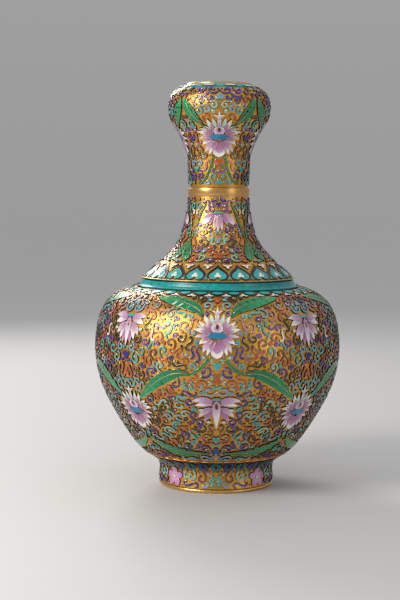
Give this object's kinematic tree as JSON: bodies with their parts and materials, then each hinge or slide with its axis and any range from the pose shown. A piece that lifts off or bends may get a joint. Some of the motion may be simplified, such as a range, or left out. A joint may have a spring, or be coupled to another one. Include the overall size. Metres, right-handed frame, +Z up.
{
  "type": "cloisonne vase",
  "caption": "Tall vase with a garlic-bulb mouth, slim ringed neck, plain collar, full belly and short foot, covered in raised enamel flowers and scrolls on a gilt ground.",
  "frame": {"origin": "centre of the foot's bottom face", "axes": "+Z up along the vase's axis; the lotus in the middle of the front faces -Y"},
  "size_m": [0.2326, 0.2326, 0.3766],
  "materials": {
    "gilt_ground": "fine-sanded gilt copper with a warm patina",
    "gilt_trim": "polished gilt",
    "turquoise_enamel": "opaque fired enamel, polished, faintly mottled",
    "copper_base": "dull copper",
    "green_enamel": "opaque fired enamel with a gilt vein",
    "lotus_enamel": "opaque fired enamel, white shading to lilac",
    "blossom_enamel": "opaque fired enamel, lilac pink",
    "scroll_enamel": "opaque fired enamel in many colours, fenced by gilt wire"
  },
  "bodies": {
    "root": {"base_plate": "copper_base", "belly_lower_shell": "gilt_ground", "belly_upper_shell": "gilt_ground", "collar_bottom_wire": "gilt_trim", "collar_top_wire": "gilt_trim", "foot_plum_1": "blossom_enamel", "foot_plum_2": "blossom_enamel", "foot_plum_3": "blossom_enamel", "foot_plum_4": "blossom_enamel", "foot_rim": "gilt_trim", "foot_shell": "gilt_ground", "head_lotus_1": "lotus_enamel", "head_lotus_2": "lotus_enamel", "head_lotus_3": "lotus_enamel", "head_lotus_4": "lotus_enamel", "head_shell": "gilt_ground", "lower_blossom_1": "blossom_enamel", "lower_blossom_2": "blossom_enamel", "lower_blossom_3": "blossom_enamel", "lower_blossom_4": "blossom_enamel", "lower_leaf_1": "green_enamel", "lower_leaf_2": "green_enamel", "lower_leaf_3": "green_enamel", "lower_leaf_4": "green_enamel", "lower_leaf_5": "green_enamel", "lower_leaf_6": "green_enamel", "lower_leaf_7": "green_enamel", "lower_leaf_8": "green_enamel", "lower_lotus_1": "lotus_enamel", "lower_lotus_2": "lotus_enamel", "lower_lotus_3": "lotus_enamel", "lower_lotus_4": "lotus_enamel", "lower_neck_shell": "gilt_ground", "mouth_band": "turquoise_enamel", "mouth_rim": "gilt_trim", "neck_blossom_1": "blossom_enamel", "neck_blossom_2": "blossom_enamel", "neck_blossom_3": "blossom_enamel", "neck_blossom_4": "blossom_enamel", "neck_ring": "gilt_trim", "shoulder_collar": "turquoise_enamel", "upper_blossom_1": "blossom_enamel", "upper_blossom_2": "blossom_enamel", "upper_blossom_3": "blossom_enamel", "upper_blossom_4": "blossom_enamel", "upper_leaf_1": "green_enamel", "upper_leaf_2": "green_enamel", "upper_leaf_3": "green_enamel", "upper_leaf_4": "green_enamel", "upper_leaf_5": "green_enamel", "upper_leaf_6": "green_enamel", "upper_leaf_7": "green_enamel", "upper_leaf_8": "green_enamel", "upper_lotus_1": "lotus_enamel", "upper_lotus_2": "lotus_enamel", "upper_lotus_3": "lotus_enamel", "upper_lotus_4": "lotus_enamel", "upper_neck_shell": "gilt_ground"}
  },
  "joints": []
}
